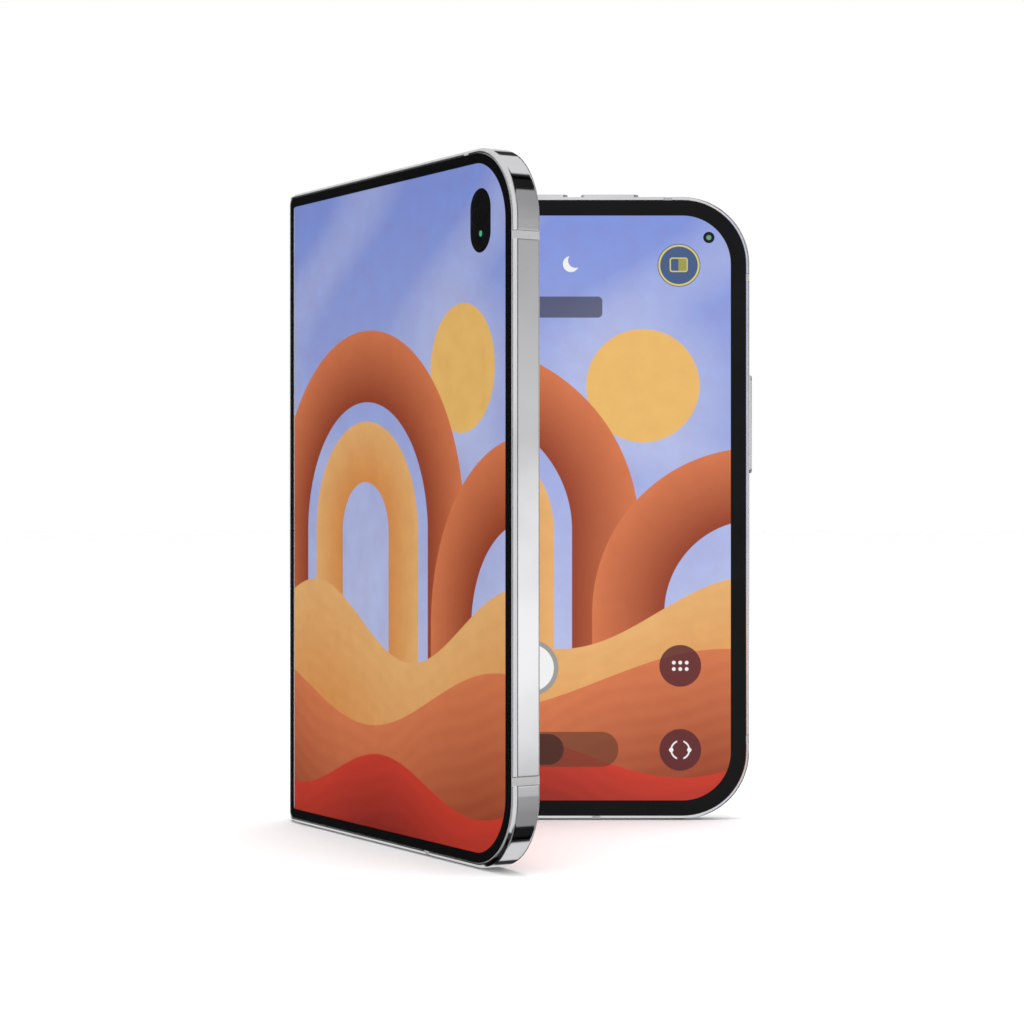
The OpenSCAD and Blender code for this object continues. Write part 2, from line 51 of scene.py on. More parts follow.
class Signal:
    # a socket that can be used in Python expressions, each adding its Math node
    def __init__(self, paint, socket):
        self.paint = paint
        self.socket = socket

    def __add__(self, other):
        return self.paint.math("ADD", self, other)

    def __radd__(self, other):
        return self.paint.math("ADD", other, self)

    def __sub__(self, other):
        return self.paint.math("SUBTRACT", self, other)

    def __rsub__(self, other):
        return self.paint.math("SUBTRACT", other, self)

    def __mul__(self, other):
        return self.paint.math("MULTIPLY", self, other)

    def __rmul__(self, other):
        return self.paint.math("MULTIPLY", other, self)

    def __truediv__(self, other):
        return self.paint.math("DIVIDE", self, other)

    def __rtruediv__(self, other):
        return self.paint.math("DIVIDE", other, self)

    def __neg__(self):
        return self.paint.math("MULTIPLY", self, -1)

    def __abs__(self):
        return self.paint.math("ABSOLUTE", self)


class Paint:
    # the nodes of a material, or of the world, under construction
    def __init__(self, name, world=False):
        self.owner = (bpy.data.worlds if world else bpy.data.materials).new(name)
        self.owner.use_nodes = True
        self.tree = self.owner.node_tree
        self.tree.nodes.clear()
        self.output = self.node("OutputWorld" if world else "OutputMaterial")
        self.coords = None

    def node(self, kind, settings=None, inputs=None):
        made = self.tree.nodes.new("ShaderNode" + kind)
        for key, value in (settings or {}).items():
            if key == "stops":
                ramp = made.color_ramp
                while len(ramp.elements) < len(value):
                    ramp.elements.new(1.0)
                for element, (position, level) in zip(ramp.elements, value):
                    element.position = position
                    element.color = (level, level, level, 1)
            else:
                setattr(made, key, value)
        for key, value in (inputs or {}).items():
            socket = made.inputs[key]
            if isinstance(value, Signal):
                self.tree.links.new(value.socket, socket)
            elif isinstance(value, bpy.types.NodeSocket):
                self.tree.links.new(value, socket)
            else:
                socket.default_value = value
        return made

    def math(self, operation, *values, clamp=False):
        settings = {"operation": operation, "use_clamp": clamp}
        return Signal(self, self.node("Math", settings, dict(enumerate(values))).outputs[0])

    def vectorMath(self, operation, *values):
        made = self.node("VectorMath", {"operation": operation}, dict(enumerate(values)))
        return made.outputs["Value" if operation == "DOT_PRODUCT" else "Vector"]

    def dot(self, vector, direction):
        return Signal(self, self.vectorMath("DOT_PRODUCT", vector, tuple(direction)))

    def limit(self, value):
        # held between 0 and 1
        return self.math("ADD", value, 0.0, clamp=True)

    def lower(self, a, b):
        return self.math("MINIMUM", a, b)

    def higher(self, a, b):
        return self.math("MAXIMUM", a, b)

    def wave(self, value):
        return self.math("SINE", value)

    def length(self, a, b):
        return self.math("SQRT", a * a + b * b)

    def place(self, kind="Object"):
        if self.coords is None:
            self.coords = self.node("TexCoord")
        return self.coords.outputs[kind]

    def noise(self, scale, detail, vector=None):
        made = self.node("TexNoise", None, {"Vector": vector or self.place(), "Scale": scale,
                                            "Detail": detail, "Roughness": 0.5})
        return Signal(self, made.outputs["Fac"])

    def stretched(self, along):
        return self.node("Mapping", None, {"Vector": self.place(), "Scale": along}).outputs[0]

    def mix(self, factor, first, second):
        return self.node("Mix", {"data_type": "RGBA"}, {0: factor, 6: first, 7: second}).outputs[2]

    def mixShader(self, factor, first, second):
        return self.node("MixShader", None, {0: factor, 1: first, 2: second}).outputs[0]

    def bump(self, height, distance, strength, edge=0.0):
        # with an edge radius, light sees the sharp edges as rounded
        inputs = {"Height": height, "Distance": distance, "Strength": strength}
        if edge:
            rounded = self.node("Bevel", {"samples": 8}, {"Radius": edge * mm})
            inputs["Normal"] = rounded.outputs[0]
        return self.node("Bump", None, inputs).outputs[0]

    def principled(self, inputs):
        return self.node("BsdfPrincipled", None, inputs).outputs[0]

    def finish(self, inputs):
        return self.close(self.principled(inputs))

    def close(self, shader):
        self.tree.links.new(shader, self.output.inputs["Surface"])
        return self.owner


def rgb(red, green, blue):
    # a colour given as seen on screen, 0 to 255
    def straight(c):
        c /= 255
        return c / 12.92 if c <= 0.04045 else ((c + 0.055) / 1.055) ** 2.4
    return (straight(red), straight(green), straight(blue), 1)


def grey(level, blueMore=0.0):
    # a dark grey given as it is mixed, with a little more blue
    return (level, level, level + blueMore, 1)


# metals, plastics and glass

metalFinish = {
    "colour": rgb(226, 226, 228),
    "worn": rgb(206, 206, 209),
    "roughness": 0.045,
    "scratches": 0.05,
    "edge": 0.4,            # radius that the edges seem to have, in millimetres
}


def polishedMetal(name, colour, worn, roughness, scratches, edge=0.2):
    paint = Paint(name)
    hair = paint.noise(900, 4, paint.stretched((1, 1, 0.02)))
    smear = paint.noise(60, 3)
    wear = paint.limit((smear - 0.45) * 2.5)
    return paint.finish({
        "Base Color": paint.mix(wear, colour, worn),
        "Metallic": 1.0,
        "Roughness": roughness + smear * 0.03 + paint.limit(hair - 0.55) * scratches,
        "Normal": paint.bump(hair, 0.000004, 0.25, edge),
    })


def mouldedPlastic(name, colour, roughness, shine=0.5):
    paint = Paint(name)
    fine = paint.noise(4000, 2)
    broad = paint.noise(90, 3)
    lighter = tuple(min(1, c * 1.35 + 0.003) for c in colour[:3]) + (1,)
    return paint.finish({
        "Base Color": paint.mix(paint.limit(broad * 1.4 - 0.35), colour, lighter),
        "Roughness": roughness + (broad - 0.5) * 0.12,
        "Specular IOR Level": shine,
        "Normal": paint.bump(fine, 0.00001, 0.4),
    })


def softTouchGlass(name, colour):
    # etched glass with a faint silky haze
    paint = Paint(name)
    etch = paint.noise(6000, 2)
    haze = paint.noise(25, 2)
    deeper = tuple(c * 0.9 for c in colour[:3]) + (1,)
    return paint.finish({
        "Base Color": paint.mix(haze, colour, deeper),
        "Roughness": 0.3 + haze * 0.05,
        "Metallic": 0.3,
        "Coat Weight": 0.6,
        "Coat Roughness": 0.07,
        "Normal": paint.bump(etch, 0.000002, 0.3),
    })


def lacquer(name, colour, trace):
    # a circuit board: copper tracks under lacquer
    paint = Paint(name)
    brick = paint.node("TexBrick", None, {
        "Vector": paint.place(),
        "Color1": black,
        "Color2": black,
        "Mortar": (1, 1, 1, 1),
        "Scale": 420,
        "Mortar Size": 0.03,
    })
    tracks = Signal(paint, brick.outputs["Fac"])
    return paint.finish({
        "Base Color": paint.mix(tracks, colour, trace),
        "Roughness": 0.3 + tracks * 0.1,
        "Normal": paint.bump(tracks, 0.00002, 0.5),
    })


def wovenCopper(name, colour):
    paint = Paint(name)
    turns = paint.wave(paint.noise(40, 1) * 60)
    return paint.finish({
        "Base Color": colour,
        "Metallic": 0.9,
        "Roughness": 0.32 + turns * 0.05,
        "Normal": paint.bump(turns, 0.00001, 0.4),
    })


def brushedSteel(name, colour, roughness=0.3):
    paint = Paint(name)
    lines = paint.noise(700, 4, paint.stretched((1, 1, 0.03)))
    return paint.finish({
        "Base Color": colour,
        "Metallic": 1.0,
        "Roughness": roughness + lines * 0.12,
        "Normal": paint.bump(lines, 0.000005, 0.5),
    })


print("metals, plastics and glass ready")


# what the displays show: an abstract picture of arches, dunes and a sun, with plain controls

screenColours = {
    "sky": rgb(128, 156, 232),
    "haze": rgb(196, 208, 246),
    "sun": rgb(244, 196, 112),
    "sunLow": rgb(226, 150, 78),
    "clay": rgb(222, 126, 80),
    "clayDeep": rgb(150, 62, 34),
    "sand": rgb(240, 186, 118),
    "red": rgb(206, 56, 38),
    "redDeep": rgb(128, 24, 20),
    "white": rgb(244, 244, 244),
    "ring": rgb(160, 156, 150),
    "maroon": rgb(88, 34, 40),
    "smoke": rgb(60, 58, 66),
    "brown": rgb(104, 56, 34),
    "brownDeep": rgb(66, 34, 24),
    "slate": rgb(70, 92, 134),
    "olive": rgb(160, 156, 82),
    "gold": rgb(222, 208, 110),
}

# in millimetres up the display; across is a share of the picture's width, from its middle
scenery = {
    "skyFrom": 20,
    "skyDepth": 95,
    "sunAcross": 0.24,
    "sunUp": 84,
    "sunRadius": 11,
    "glowRadius": 15.5,
    "arches": (     # across, up, radius, width of the band, colour of its two edges
        (-0.13, 56, 30, 13, "clay", "clayDeep"),
        (-0.13, 56, 14.5, 11, "sand", "sunLow"),
        (0.46, 40, 25, 14, "clay", "clayDeep"),
    ),
    "dunes": (      # level, height and length of the crest's wave, its phase, colours, fade
        (40, 7, 74, 0.6, "sand", "sunLow", 26),
        (27, 6, 96, 2.6, "clay", "clayDeep", 26),
        (12, 4, 68, 4.4, "red", "redDeep", 14),
    ),
}

# the plain controls, in millimetres from the hinge axis and up
controlPlan = {
    "plate": (26, 97.2, 56.3, 101.3, 0.9),    # low corner, high corner, radius of the corners
    "track": (25, 10.1, 59.4, 16.9, 3.3),
    "thumb": (31, 10.5, 48.8, 16.5, 3.0),
    "mode": (71.15, 107.35),
    "modeRadius": 4.15,
    "moon": (50.2, 107.6, 1.55),                # place and radius
    "moonShade": (51.1, 108.3, 1.45),
    "shutter": (42.3, 29.3),
    "shutterRadius": 5.5,
    "shutterInside": 4.6,
    "buttonAcross": 71.4,
    "buttonUp": (29.7, 13.4),
    "buttonRadius": 4.05,
    "dotRadius": 0.36,
    "turnRadius": 1.75,
    "turnEnd": 0.42,
}

innerScreen = {
    "border": 3.6,
    "middle": 40,           # of the picture, from the hinge axis
    "share": 0.62,          # of the open width that the picture takes
    "brightness": 0.96,
    "gloss": 0.12,
}

coverScreen = {
    "left": 1.15,           # lit from here, measured from the hinge axis
    "right": 82.0,
    "border": 2.5,
    "hingeRadius": 1.6,
    "middle": 44,
    "width": 96,            # of the picture
    "brightness": 0.96,
}

paintEdge = 0.12            # width over which a painted edge fades, in millimetres
stripScale = 100            # millimetres to one unit of the bending strip's UV map


class Canvas:
    # a flat picture painted with shapes, u across and v up, in millimetres
    def __init__(self, paint, u, v, colour=None):
        self.paint = paint
        self.u = u
        self.v = v
        self.colour = colour

    def lay(self, mask, colour, opacity=1.0):
        factor = mask if opacity == 1.0 else mask * opacity
        self.colour = self.paint.mix(factor, self.colour, colour)

    def away(self, x, y):
        return self.paint.length(self.u - x, self.v - y)

    def inside(self, distance, soft=paintEdge):
        return self.paint.limit(0.5 - distance / soft)

    def discMask(self, x, y, r, soft=paintEdge):
        return self.inside(self.away(x, y) - r, soft)

    def disc(self, x, y, r, colour, opacity=1.0, soft=paintEdge):
        self.lay(self.discMask(x, y, r, soft), colour, opacity)

    def ringMask(self, x, y, r, width):
        return self.inside(abs(self.away(x, y) - r) - width / 2)

    def ring(self, x, y, r, width, colour):
        self.lay(self.ringMask(x, y, r, width), colour)

    def barMask(self, x0, y0, x1, y1, r):
        paint = self.paint
        qx = abs(self.u - (x0 + x1) / 2) - ((x1 - x0) / 2 - r)
        qy = abs(self.v - (y0 + y1) / 2) - ((y1 - y0) / 2 - r)
        outer = paint.length(paint.higher(qx, 0), paint.higher(qy, 0))
        return self.inside(outer + paint.lower(paint.higher(qx, qy), 0) - r)

    def bar(self, x0, y0, x1, y1, r, colour, opacity=1.0):
        self.lay(self.barMask(x0, y0, x1, y1, r), colour, opacity)

    def arch(self, x, y, r, width, colour, deep):
        # two legs and a half ring, darker towards the inside edge
        paint = self.paint
        reach = paint.length(abs(self.u - x), paint.higher(self.v - y, 0))
        band = self.inside(abs(reach - r) - width / 2, 0.15)
        shade = paint.limit((r + width / 2 - reach) / width)
        self.lay(band, paint.mix(shade, colour, deep))

    def dune(self, level, height, length, phase, colour, deep, fade):
        paint = self.paint
        crest = level + height * paint.wave(self.u * (2 * math.pi / length) + phase)
        below = crest - self.v
        drift = paint.wave(self.u * 0.21 + phase) * 2.4
        ripple = paint.wave(below * 1.9 + drift) * 0.035
        shade = paint.limit(below / fade + ripple)
        self.lay(paint.limit(below / 0.15 + 0.5), paint.mix(shade, colour, deep))


def landscape(canvas, middle, width):
    # the generic picture, laid out about a middle
    c = screenColours
    paint = canvas.paint
    rise = (canvas.v - scenery["skyFrom"]) / scenery["skyDepth"]
    canvas.colour = paint.mix(paint.limit(rise), c["haze"], c["sky"])
    drift = paint.wave(canvas.v * 0.09) * 2.2
    cloud = paint.wave(canvas.u * 0.11 + drift) * 0.5 + 0.5
    canvas.lay(paint.limit(cloud * 1.6 - 0.7), c["haze"], 0.45)
    sunAt = (middle + width * scenery["sunAcross"], scenery["sunUp"])
    canvas.disc(*sunAt, scenery["glowRadius"], c["haze"], 0.4, 7.0)
    canvas.disc(*sunAt, scenery["sunRadius"], c["sun"], soft=0.3)
    for across, up, radius, band, colour, deep in scenery["arches"]:
        canvas.arch(middle + width * across, up, radius, band, c[colour], c[deep])
    for level, height, length, phase, colour, deep, fade in scenery["dunes"]:
        canvas.dune(level, height, length, phase, c[colour], c[deep], fade)
    canvas.colour = paint.mix(paint.noise(260, 4) * 0.22, canvas.colour, c["clayDeep"])


def controls(canvas):
    # plain controls on the right of the open display
    c = screenColours
    plan = controlPlan
    canvas.bar(*plan["plate"], c["smoke"], 0.8)

    # a round mark with a small two-part frame in it
    x, y = plan["mode"]
    canvas.disc(x, y, plan["modeRadius"], c["slate"])
    canvas.ring(x, y, 3.82, 0.34, c["gold"])
    canvas.bar(x - 1.8, y - 1.3, x + 1.7, y + 1.5, 0.5, c["gold"])
    canvas.bar(x - 1.57, y - 1.07, x + 1.47, y + 1.27, 0.32, c["slate"])
    canvas.bar(x - 0.1, y - 1.07, x + 1.47, y + 1.27, 0.2, c["olive"])

    moon = canvas.discMask(*plan["moon"]) * (1 - canvas.discMask(*plan["moonShade"]))
    canvas.lay(moon, c["white"])
    canvas.bar(*plan["track"], c["brown"], 0.75)
    canvas.bar(*plan["thumb"], c["brownDeep"], 0.9)
    canvas.disc(*plan["shutter"], plan["shutterRadius"], c["ring"])
    canvas.disc(*plan["shutter"], plan["shutterInside"], c["white"])

    # two round buttons: six dots in the upper one, a broken ring in the lower one
    x = plan["buttonAcross"]
    upper, lower = plan["buttonUp"]
    for y in (upper, lower):
        canvas.disc(x, y, plan["buttonRadius"], c["maroon"], 0.92)
    for dx in (-1.25, 0, 1.25):
        for dy in (-0.62, 0.62):
            canvas.disc(x + dx, upper + dy, plan["dotRadius"], c["white"])
    sides = canvas.paint.limit(abs(canvas.u - x) * 6 - 3.2)
    canvas.lay(canvas.ringMask(x, lower, plan["turnRadius"], 0.3) * sides, c["white"])
    for side in (-1, 1):
        canvas.disc(x + side * plan["turnRadius"], lower, plan["turnEnd"], c["white"])


def innerPicture(paint, u, v):
    border = innerScreen["border"]
    half = phone["halfWidth"] - border
    canvas = Canvas(paint, u, v)
    landscape(canvas, innerScreen["middle"], 2 * half * innerScreen["share"])
    controls(canvas)
    lit = canvas.barMask(-half, border, half, phone["height"] - border,
                         phone["cornerRadius"] - border)
    ripple = paint.noise(70, 2)
    return paint.finish({
        "Base Color": grey(0.004, 0.001),
        "Emission Color": paint.mix(lit, black, canvas.colour),
        "Emission Strength": innerScreen["brightness"],
        "Roughness": innerScreen["gloss"] + ripple * 0.04,
        "Specular IOR Level": 0.2,
        "Normal": paint.bump(ripple, 0.00002, 0.3),
    })


def panelCoordinates(paint, side):
    # millimetres across from the hinge axis and up, from the place on the object at rest
    place = paint.place()
    height = paint.dot(place, (0, 0, 1 / mm))
    if side == "rear":
        return paint.dot(place, (1 / mm, 0, 0)) - axisPoint.x / mm, height
    along = frontAlong / mm
    return paint.dot(place, along) - axisPoint.dot(along), height


def rearScreen():
    paint = Paint("openDisplayRear")
    return innerPicture(paint, *panelCoordinates(paint, "rear"))


def frontScreen():
    paint = Paint("openDisplayFront")
    u, v = panelCoordinates(paint, "front")
    return innerPicture(paint, -u, v)


def bendScreen():
    paint = Paint("openDisplayBend")
    spot = paint.place("UV")
    u = paint.dot(spot, (stripScale, 0, 0))
    v = paint.dot(spot, (0, stripScale, 0))
    return innerPicture(paint, u, v)


def coverLit(canvas):
    # the lit part of the cover display, with tighter corners at the hinge
    border = coverScreen["border"]
    high = phone["height"] - border
    free = canvas.barMask(-30, border, coverScreen["right"], high, phone["cornerRadius"] - border)
    hinge = canvas.barMask(coverScreen["left"], border, 130, high, coverScreen["hingeRadius"])
    return free * hinge


def coverPicture():
    paint = Paint("coverDisplay")
    canvas = Canvas(paint, *panelCoordinates(paint, "front"))
    landscape(canvas, coverScreen["middle"], coverScreen["width"])
    return paint.finish({
        "Base Color": grey(0.004, 0.001),
        "Emission Color": paint.mix(coverLit(canvas), black, canvas.colour),
        "Emission Strength": coverScreen["brightness"],
        "Roughness": 0.2 + paint.noise(90, 2) * 0.05,
    })


def coverGlass():
    # clear over the picture, with black ink printed under its border
    paint = Paint("coverGlass")
    canvas = Canvas(paint, *panelCoordinates(paint, "front"))
    clear = paint.principled({
        "Base Color": (1, 1, 1, 1),
        "Transmission Weight": 1.0,
        "IOR": 1.45,
        "Roughness": 0.0,
    })
    ink = paint.principled({
        "Base Color": grey(0.003, 0.0005),
        "Roughness": 0.05 + paint.noise(45, 3) * 0.03,
        "Specular IOR Level": 0.4,
    })
    return paint.close(paint.mixShader(coverLit(canvas), ink, clear))


print("displays painted")


# the strip of display over the hinge

bendStrip = {
    "reach": 8.0,           # display that bends, each side of the axis
    "front": 0.25,          # depth of its face when open
    "back": 0.75,
    "low": 3.4,             # left free at the bottom and the top
    "steps": 64,            # round the bend
    "rows": 24,             # up the strip
    "tries": 60,            # to find where a point rests
}


def turned(point, angle):
    x, y = point[0], point[1]
    return Vector((x * math.cos(angle) - y * math.sin(angle),
                   x * math.sin(angle) + y * math.cos(angle), 0))


bendFrom = Vector((bendStrip["reach"], bendStrip["front"], 0))
bendTo = turned((-bendStrip["reach"], bendStrip["front"]), foldAngle)


def restingPoint(s, depth):
    way = bendTo - bendFrom
    share = 0.5
    for step in range(bendStrip["tries"]):
        offset = turned((s, depth), share * foldAngle) - bendFrom
        t = min(1, max(0, offset.dot(way) / way.length_squared))
        share = (share + t * t * (3 - 2 * t)) / 2
    return turned((s, depth), share * foldAngle)


def bendMesh():
    # faces with the picture run along the front; the back and the two ends close the strip
    steps, rows = bendStrip["steps"], bendStrip["rows"]
    low, high = bendStrip["low"], phone["height"] - bendStrip["low"]
    stations = [bendStrip["reach"] * (1 - 2 * k / steps) for k in range(steps + 1)]
    outline = [(s, bendStrip["front"]) for s in stations]
    outline += [(s, bendStrip["back"]) for s in reversed(stations)]
    resting = [restingPoint(s, depth) for s, depth in outline]
    count = len(outline)

    bm = bmesh.new()
    picture = bm.loops.layers.uv.new("flat")
    rings = []
    for k in range(rows + 1):
        lift = Vector((0, 0, low + (high - low) * k / rows))
        rings.append([bm.verts.new((point + lift) * mm + axisPoint) for point in resting])
    across = {vert: outline[k][0] for ring in rings for k, vert in enumerate(ring)}
    shown = set()
    for lower, upper in zip(rings, rings[1:]):
        for k in range(count):
            n = (k + 1) % count
            wall = bm.faces.new((lower[k], lower[n], upper[n], upper[k]))
            if k < steps:
                shown.add(wall)
    for ring, flip in ((rings[0], False), (rings[-1], True)):
        for k in range(steps):
            quad = (ring[k], ring[count - 1 - k], ring[count - 2 - k], ring[k + 1])
            bm.faces.new(tuple(reversed(quad)) if flip else quad)
    bmesh.ops.recalc_face_normals(bm, faces=bm.faces)

    for face in bm.faces:
        face.smooth = abs(face.normal.z) < 0.5      # all but the two ends
        for loop in face.loops:
            # the back and the ends lie off the picture, so they stay black
            up = loop.vert.co.z / mm / stripScale if face in shown else -1
            loop[picture].uv = (across[loop.vert] / stripScale, up)
    for edge in bm.edges:
        edge.smooth = edge.calc_face_angle() < 0.5
    mesh = bpy.data.meshes.new("displayBend")
    bm.to_mesh(mesh)
    bm.free()
    return mesh


def makeBend():
    strip = bpy.data.objects.new("display_bend_strip", bendMesh())
    bpy.context.scene.collection.objects.link(strip)
    strip.data.materials.append(bendScreen())
    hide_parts("display_bend")
    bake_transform(strip)


makeBend()
print("bend in place")


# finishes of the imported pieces; places are across from the hinge axis and up, in millimetres

def indicatorLight(name, colour):
    paint = Paint(name)
    return paint.finish({
        "Base Color": colour,
        "Emission Color": colour,
        "Emission Strength": 0.6,
        "Roughness": 0.3 + paint.noise(200, 2) * 0.1,
    })


innerCamera = {
    "place": (76.95, 112.75),
    "rim": 0.85,            # radius of the fine ring
    "dot": 0.5,             # radius of the painted glowing dot
    "colour": rgb(112, 176, 134),
}


def innerCameraGlass():
    # a black lens, with painted light: a small green dot in its middle glows, though the lens is
    # no lamp
    paint = Paint("innerCamera")
    canvas = Canvas(paint, *panelCoordinates(paint, "rear"), (0.003, 0.004, 0.005, 1))
    canvas.ring(*innerCamera["place"], innerCamera["rim"], 0.1, (0.02, 0.022, 0.024, 1))
    # painted light: the green dot is emission painted on a lens that gives no light of its own
    glow = canvas.discMask(*innerCamera["place"], innerCamera["dot"], 0.15)
    return paint.finish({
        "Base Color": canvas.colour,
        "Emission Color": paint.mix(glow, black, innerCamera["colour"]),
        "Emission Strength": 0.8,
        "Specular IOR Level": 0.12,
        "Roughness": 0.05 + paint.noise(300, 2) * 0.02,
    })


rearCameras = {
    "across": (42.55, 57.05),
    "up": 102.6,
    "barrel": 3.6,          # radii
    "steps": (3.5, 3.0, 2.5),
    "coating": 2.2,
    "iris": 1.5,
    "tint": rgb(70, 62, 130),
}


def rearLensGlass():
    # each lens: a dark iris, a faint coloured coating, the steps of its barrel and a painted glint
    paint = Paint("lensGlass")
    canvas = Canvas(paint, *panelCoordinates(paint, "rear"), grey(0.004, 0.001))
    up = rearCameras["up"]
    tint = rearCameras["tint"]
    for across in rearCameras["across"]:
        canvas.disc(across, up, rearCameras["barrel"], grey(0.012, 0.002))
        for radius in rearCameras["steps"]:
            canvas.ring(across, up, radius, 0.12, grey(0.05, 0.005))
        canvas.disc(across, up, rearCameras["coating"], tint, 0.35, 0.8)
        canvas.disc(across, up, rearCameras["iris"], grey(0.002, 0.001), soft=0.3)
        canvas.disc(across + 0.5, up + 0.55, 0.28, tint, 0.6, 0.2)      # a painted glint: a small highlight painted in the coating's tint
    return paint.finish({
        "Base Color": canvas.colour,
        "Roughness": 0.04 + paint.noise(300, 2) * 0.02,
        "Coat Weight": 0.6,
        "Coat Roughness": 0.02,
    })


coverLens = {"place": (73.2, 110.0), "outer": 1.3, "inner": 0.8}


def coverCameraFace():
    paint = Paint("coverCamera")
    canvas = Canvas(paint, *panelCoordinates(paint, "front"), grey(0.003, 0.0005))
    canvas.ring(*coverLens["place"], coverLens["outer"], 0.12, grey(0.018, 0.002))
    canvas.ring(*coverLens["place"], coverLens["inner"], 0.1, grey(0.014, 0.002))
    return paint.finish({
        "Base Color": canvas.colour,
        "Roughness": 0.12 + paint.noise(300, 2) * 0.03,
        "Specular IOR Level": 0.12,
    })


flash = {"place": (70.3, 102.6), "phosphor": 0.9, "grooves": 22}


def flashLens():
    # fine moulded rings over a yellow phosphor
    paint = Paint("flashLens")
    canvas = Canvas(paint, *panelCoordinates(paint, "rear"), rgb(226, 220, 200))
    across, up = flash["place"]
    half = flash["phosphor"]
    canvas.bar(across - half, up - half, across + half, up + half, 0.25, rgb(232, 202, 104))
    grooves = paint.wave(canvas.away(across, up) * flash["grooves"])
    return paint.finish({
        "Base Color": canvas.colour,
        "Roughness": 0.18 + grooves * 0.04,
        "Coat Weight": 0.7,
        "Coat Roughness": 0.03,
        "Normal": paint.bump(grooves, 0.00002, 0.6),
    })


contactRow = {"pitch": 0.5, "low": 1.6, "high": 5.6, "half": 2.9, "sharpness": 20}


def portContacts():
    # the tongue's row of gilded contacts
    paint = Paint("portContacts")
    u, v = panelCoordinates(paint, "rear")
    across = u - phone["halfWidth"] / 2
    sharp = contactRow["sharpness"]
    pads = paint.limit(paint.wave(across * (2 * math.pi / contactRow["pitch"])) * 3 - 1)
    pads = pads * paint.limit((contactRow["high"] - v) * sharp)
    pads = pads * paint.limit((v - contactRow["low"]) * sharp)
    pads = pads * paint.limit((contactRow["half"] - abs(across)) * sharp)
    return paint.finish({
        "Base Color": paint.mix(pads, grey(0.012, 0.001), rgb(222, 176, 92)),
        "Metallic": pads,
        "Roughness": 0.4 - pads * 0.15,
    })


endCap = {
    "depth": 1.1,           # black up to here, outwards from the axis
    "inset": 0.5,           # and not in this last bit of the height
    "sharpness": 25,
}


def endCapMetal(name, colour):
    # polished outside, black next to the display
    paint = Paint(name)
    middle = foldAngle / 2
    outwards = Vector((-math.sin(middle), math.cos(middle), 0)) / mm
    place = paint.place()
    depth = paint.dot(place, outwards) - axisPoint.dot(outwards)
    height = paint.dot(place, (0, 0, 1 / mm))
    beyond = abs(height - phone["height"] / 2) - phone["height"] / 2
    near = paint.limit((endCap["depth"] - depth) * endCap["sharpness"])
    inked = near * paint.limit((-endCap["inset"] - beyond) * endCap["sharpness"])
    smear = paint.noise(80, 3)
    return paint.finish({
        "Base Color": paint.mix(inked, colour, grey(0.012, 0.001)),
        "Metallic": 1 - inked,
        "Roughness": 0.08 + smear * 0.04 + inked * 0.25,
        "Normal": paint.bump(smear, 0.000004, 0.25),
    })


frameMetal = polishedMetal("frameMetal", **metalFinish)
bandPlastic = mouldedPlastic("bandPlastic", rgb(158, 158, 158), 0.3)
rimPlastic = mouldedPlastic("rimPlastic", grey(0.004, 0.0005), 0.3, shine=0.09)
blackPlastic = mouldedPlastic("blackPlastic", grey(0.012, 0.001), 0.4)
batteryWrap = mouldedPlastic("batteryWrap", grey(0.018, 0.002), 0.5)
satinSteel = brushedSteel("satinSteel", rgb(190, 190, 194))
blackSteel = brushedSteel("blackSteel", rgb(44, 44, 48), 0.34)
boardGreen = lacquer("boardGreen", rgb(18, 62, 44), rgb(150, 110, 50))

finishes = {
    "rear_frame": frameMetal,
    "front_frame": frameMetal,
    "volume_up": frameMetal,
    "volume_down": frameMetal,
    "power_button": frameMetal,
    "sim_tray": frameMetal,
    "rear_antenna_bands": bandPlastic,
    "front_antenna_bands": bandPlastic,
    "back_glass": softTouchGlass("backGlass", rgb(196, 197, 200)),
    "camera_island": polishedMetal("islandMetal", rgb(206, 206, 208), rgb(190, 190, 192),
                                   0.2, 0.04),
    "camera_rings": frameMetal,
    "camera_lenses": rearLensGlass(),
    "camera_flash": flashLens(),
    "camera_modules": blackPlastic,
    "inner_display_rear": rearScreen(),
    "inner_display_front": frontScreen(),
    "cover_display": coverPicture(),
    "cover_glass": coverGlass(),
    "rear_rim": rimPlastic,
    "front_rim": rimPlastic,
    "inner_camera": innerCameraGlass(),
    "cover_camera": coverCameraFace(),
    "cover_indicator": indicatorLight("indicator", rgb(84, 196, 150)),
    "rear_support_plate": satinSteel,
    "front_support_plate": satinSteel,
    "main_board": boardGreen,
    "sub_board": boardGreen,
    "board_screws": satinSteel,
    "rear_battery": batteryWrap,
    "front_battery": batteryWrap,
    "charging_coil": wovenCopper("copper", rgb(200, 124, 70)),
    "usb_shell": satinSteel,
    "usb_tongue": portContacts(),
    "loudspeaker": blackPlastic,
    "earpiece": blackPlastic,
    "vibration_motor": satinSteel,
    "rear_hinge_arms": blackSteel,
    "front_hinge_arms": blackSteel,
    "hinge_base": blackSteel,
    "torsion_rod": satinSteel,
    "button_switches": lacquer("switchFilm", rgb(150, 104, 40), rgb(190, 150, 70)),
    "sim_cage": satinSteel,
    "rear_magnets": satinSteel,
    "front_magnets": satinSteel,
    "spine_cover": polishedMetal("spineMetal", rgb(204, 204, 207), rgb(188, 188, 191), 0.16, 0.05),
    "spine_end_caps": endCapMetal("capMetal", rgb(206, 206, 209)),
}

for node, finish in finishes.items():
    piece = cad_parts[node]
    piece.data.materials.clear()
    piece.data.materials.append(finish)

print("packed pieces finished:", len(finishes))

softEdges = {       # width of the rounding, in millimetres
    "camera_island": 0.3,
    "camera_rings": 0.12,
    "volume_up": 0.06,
    "volume_down": 0.06,
    "power_button": 0.06,
}

for node, width in softEdges.items():
    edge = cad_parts[node].modifiers.new("softEdge", "BEVEL")
    edge.width = width * mm
    edge.segments = 3
    edge.limit_method = "ANGLE"
    edge.angle_limit = math.radians(40)
    edge.harden_normals = True

print("edges softened:", len(softEdges))


# floor, light and camera

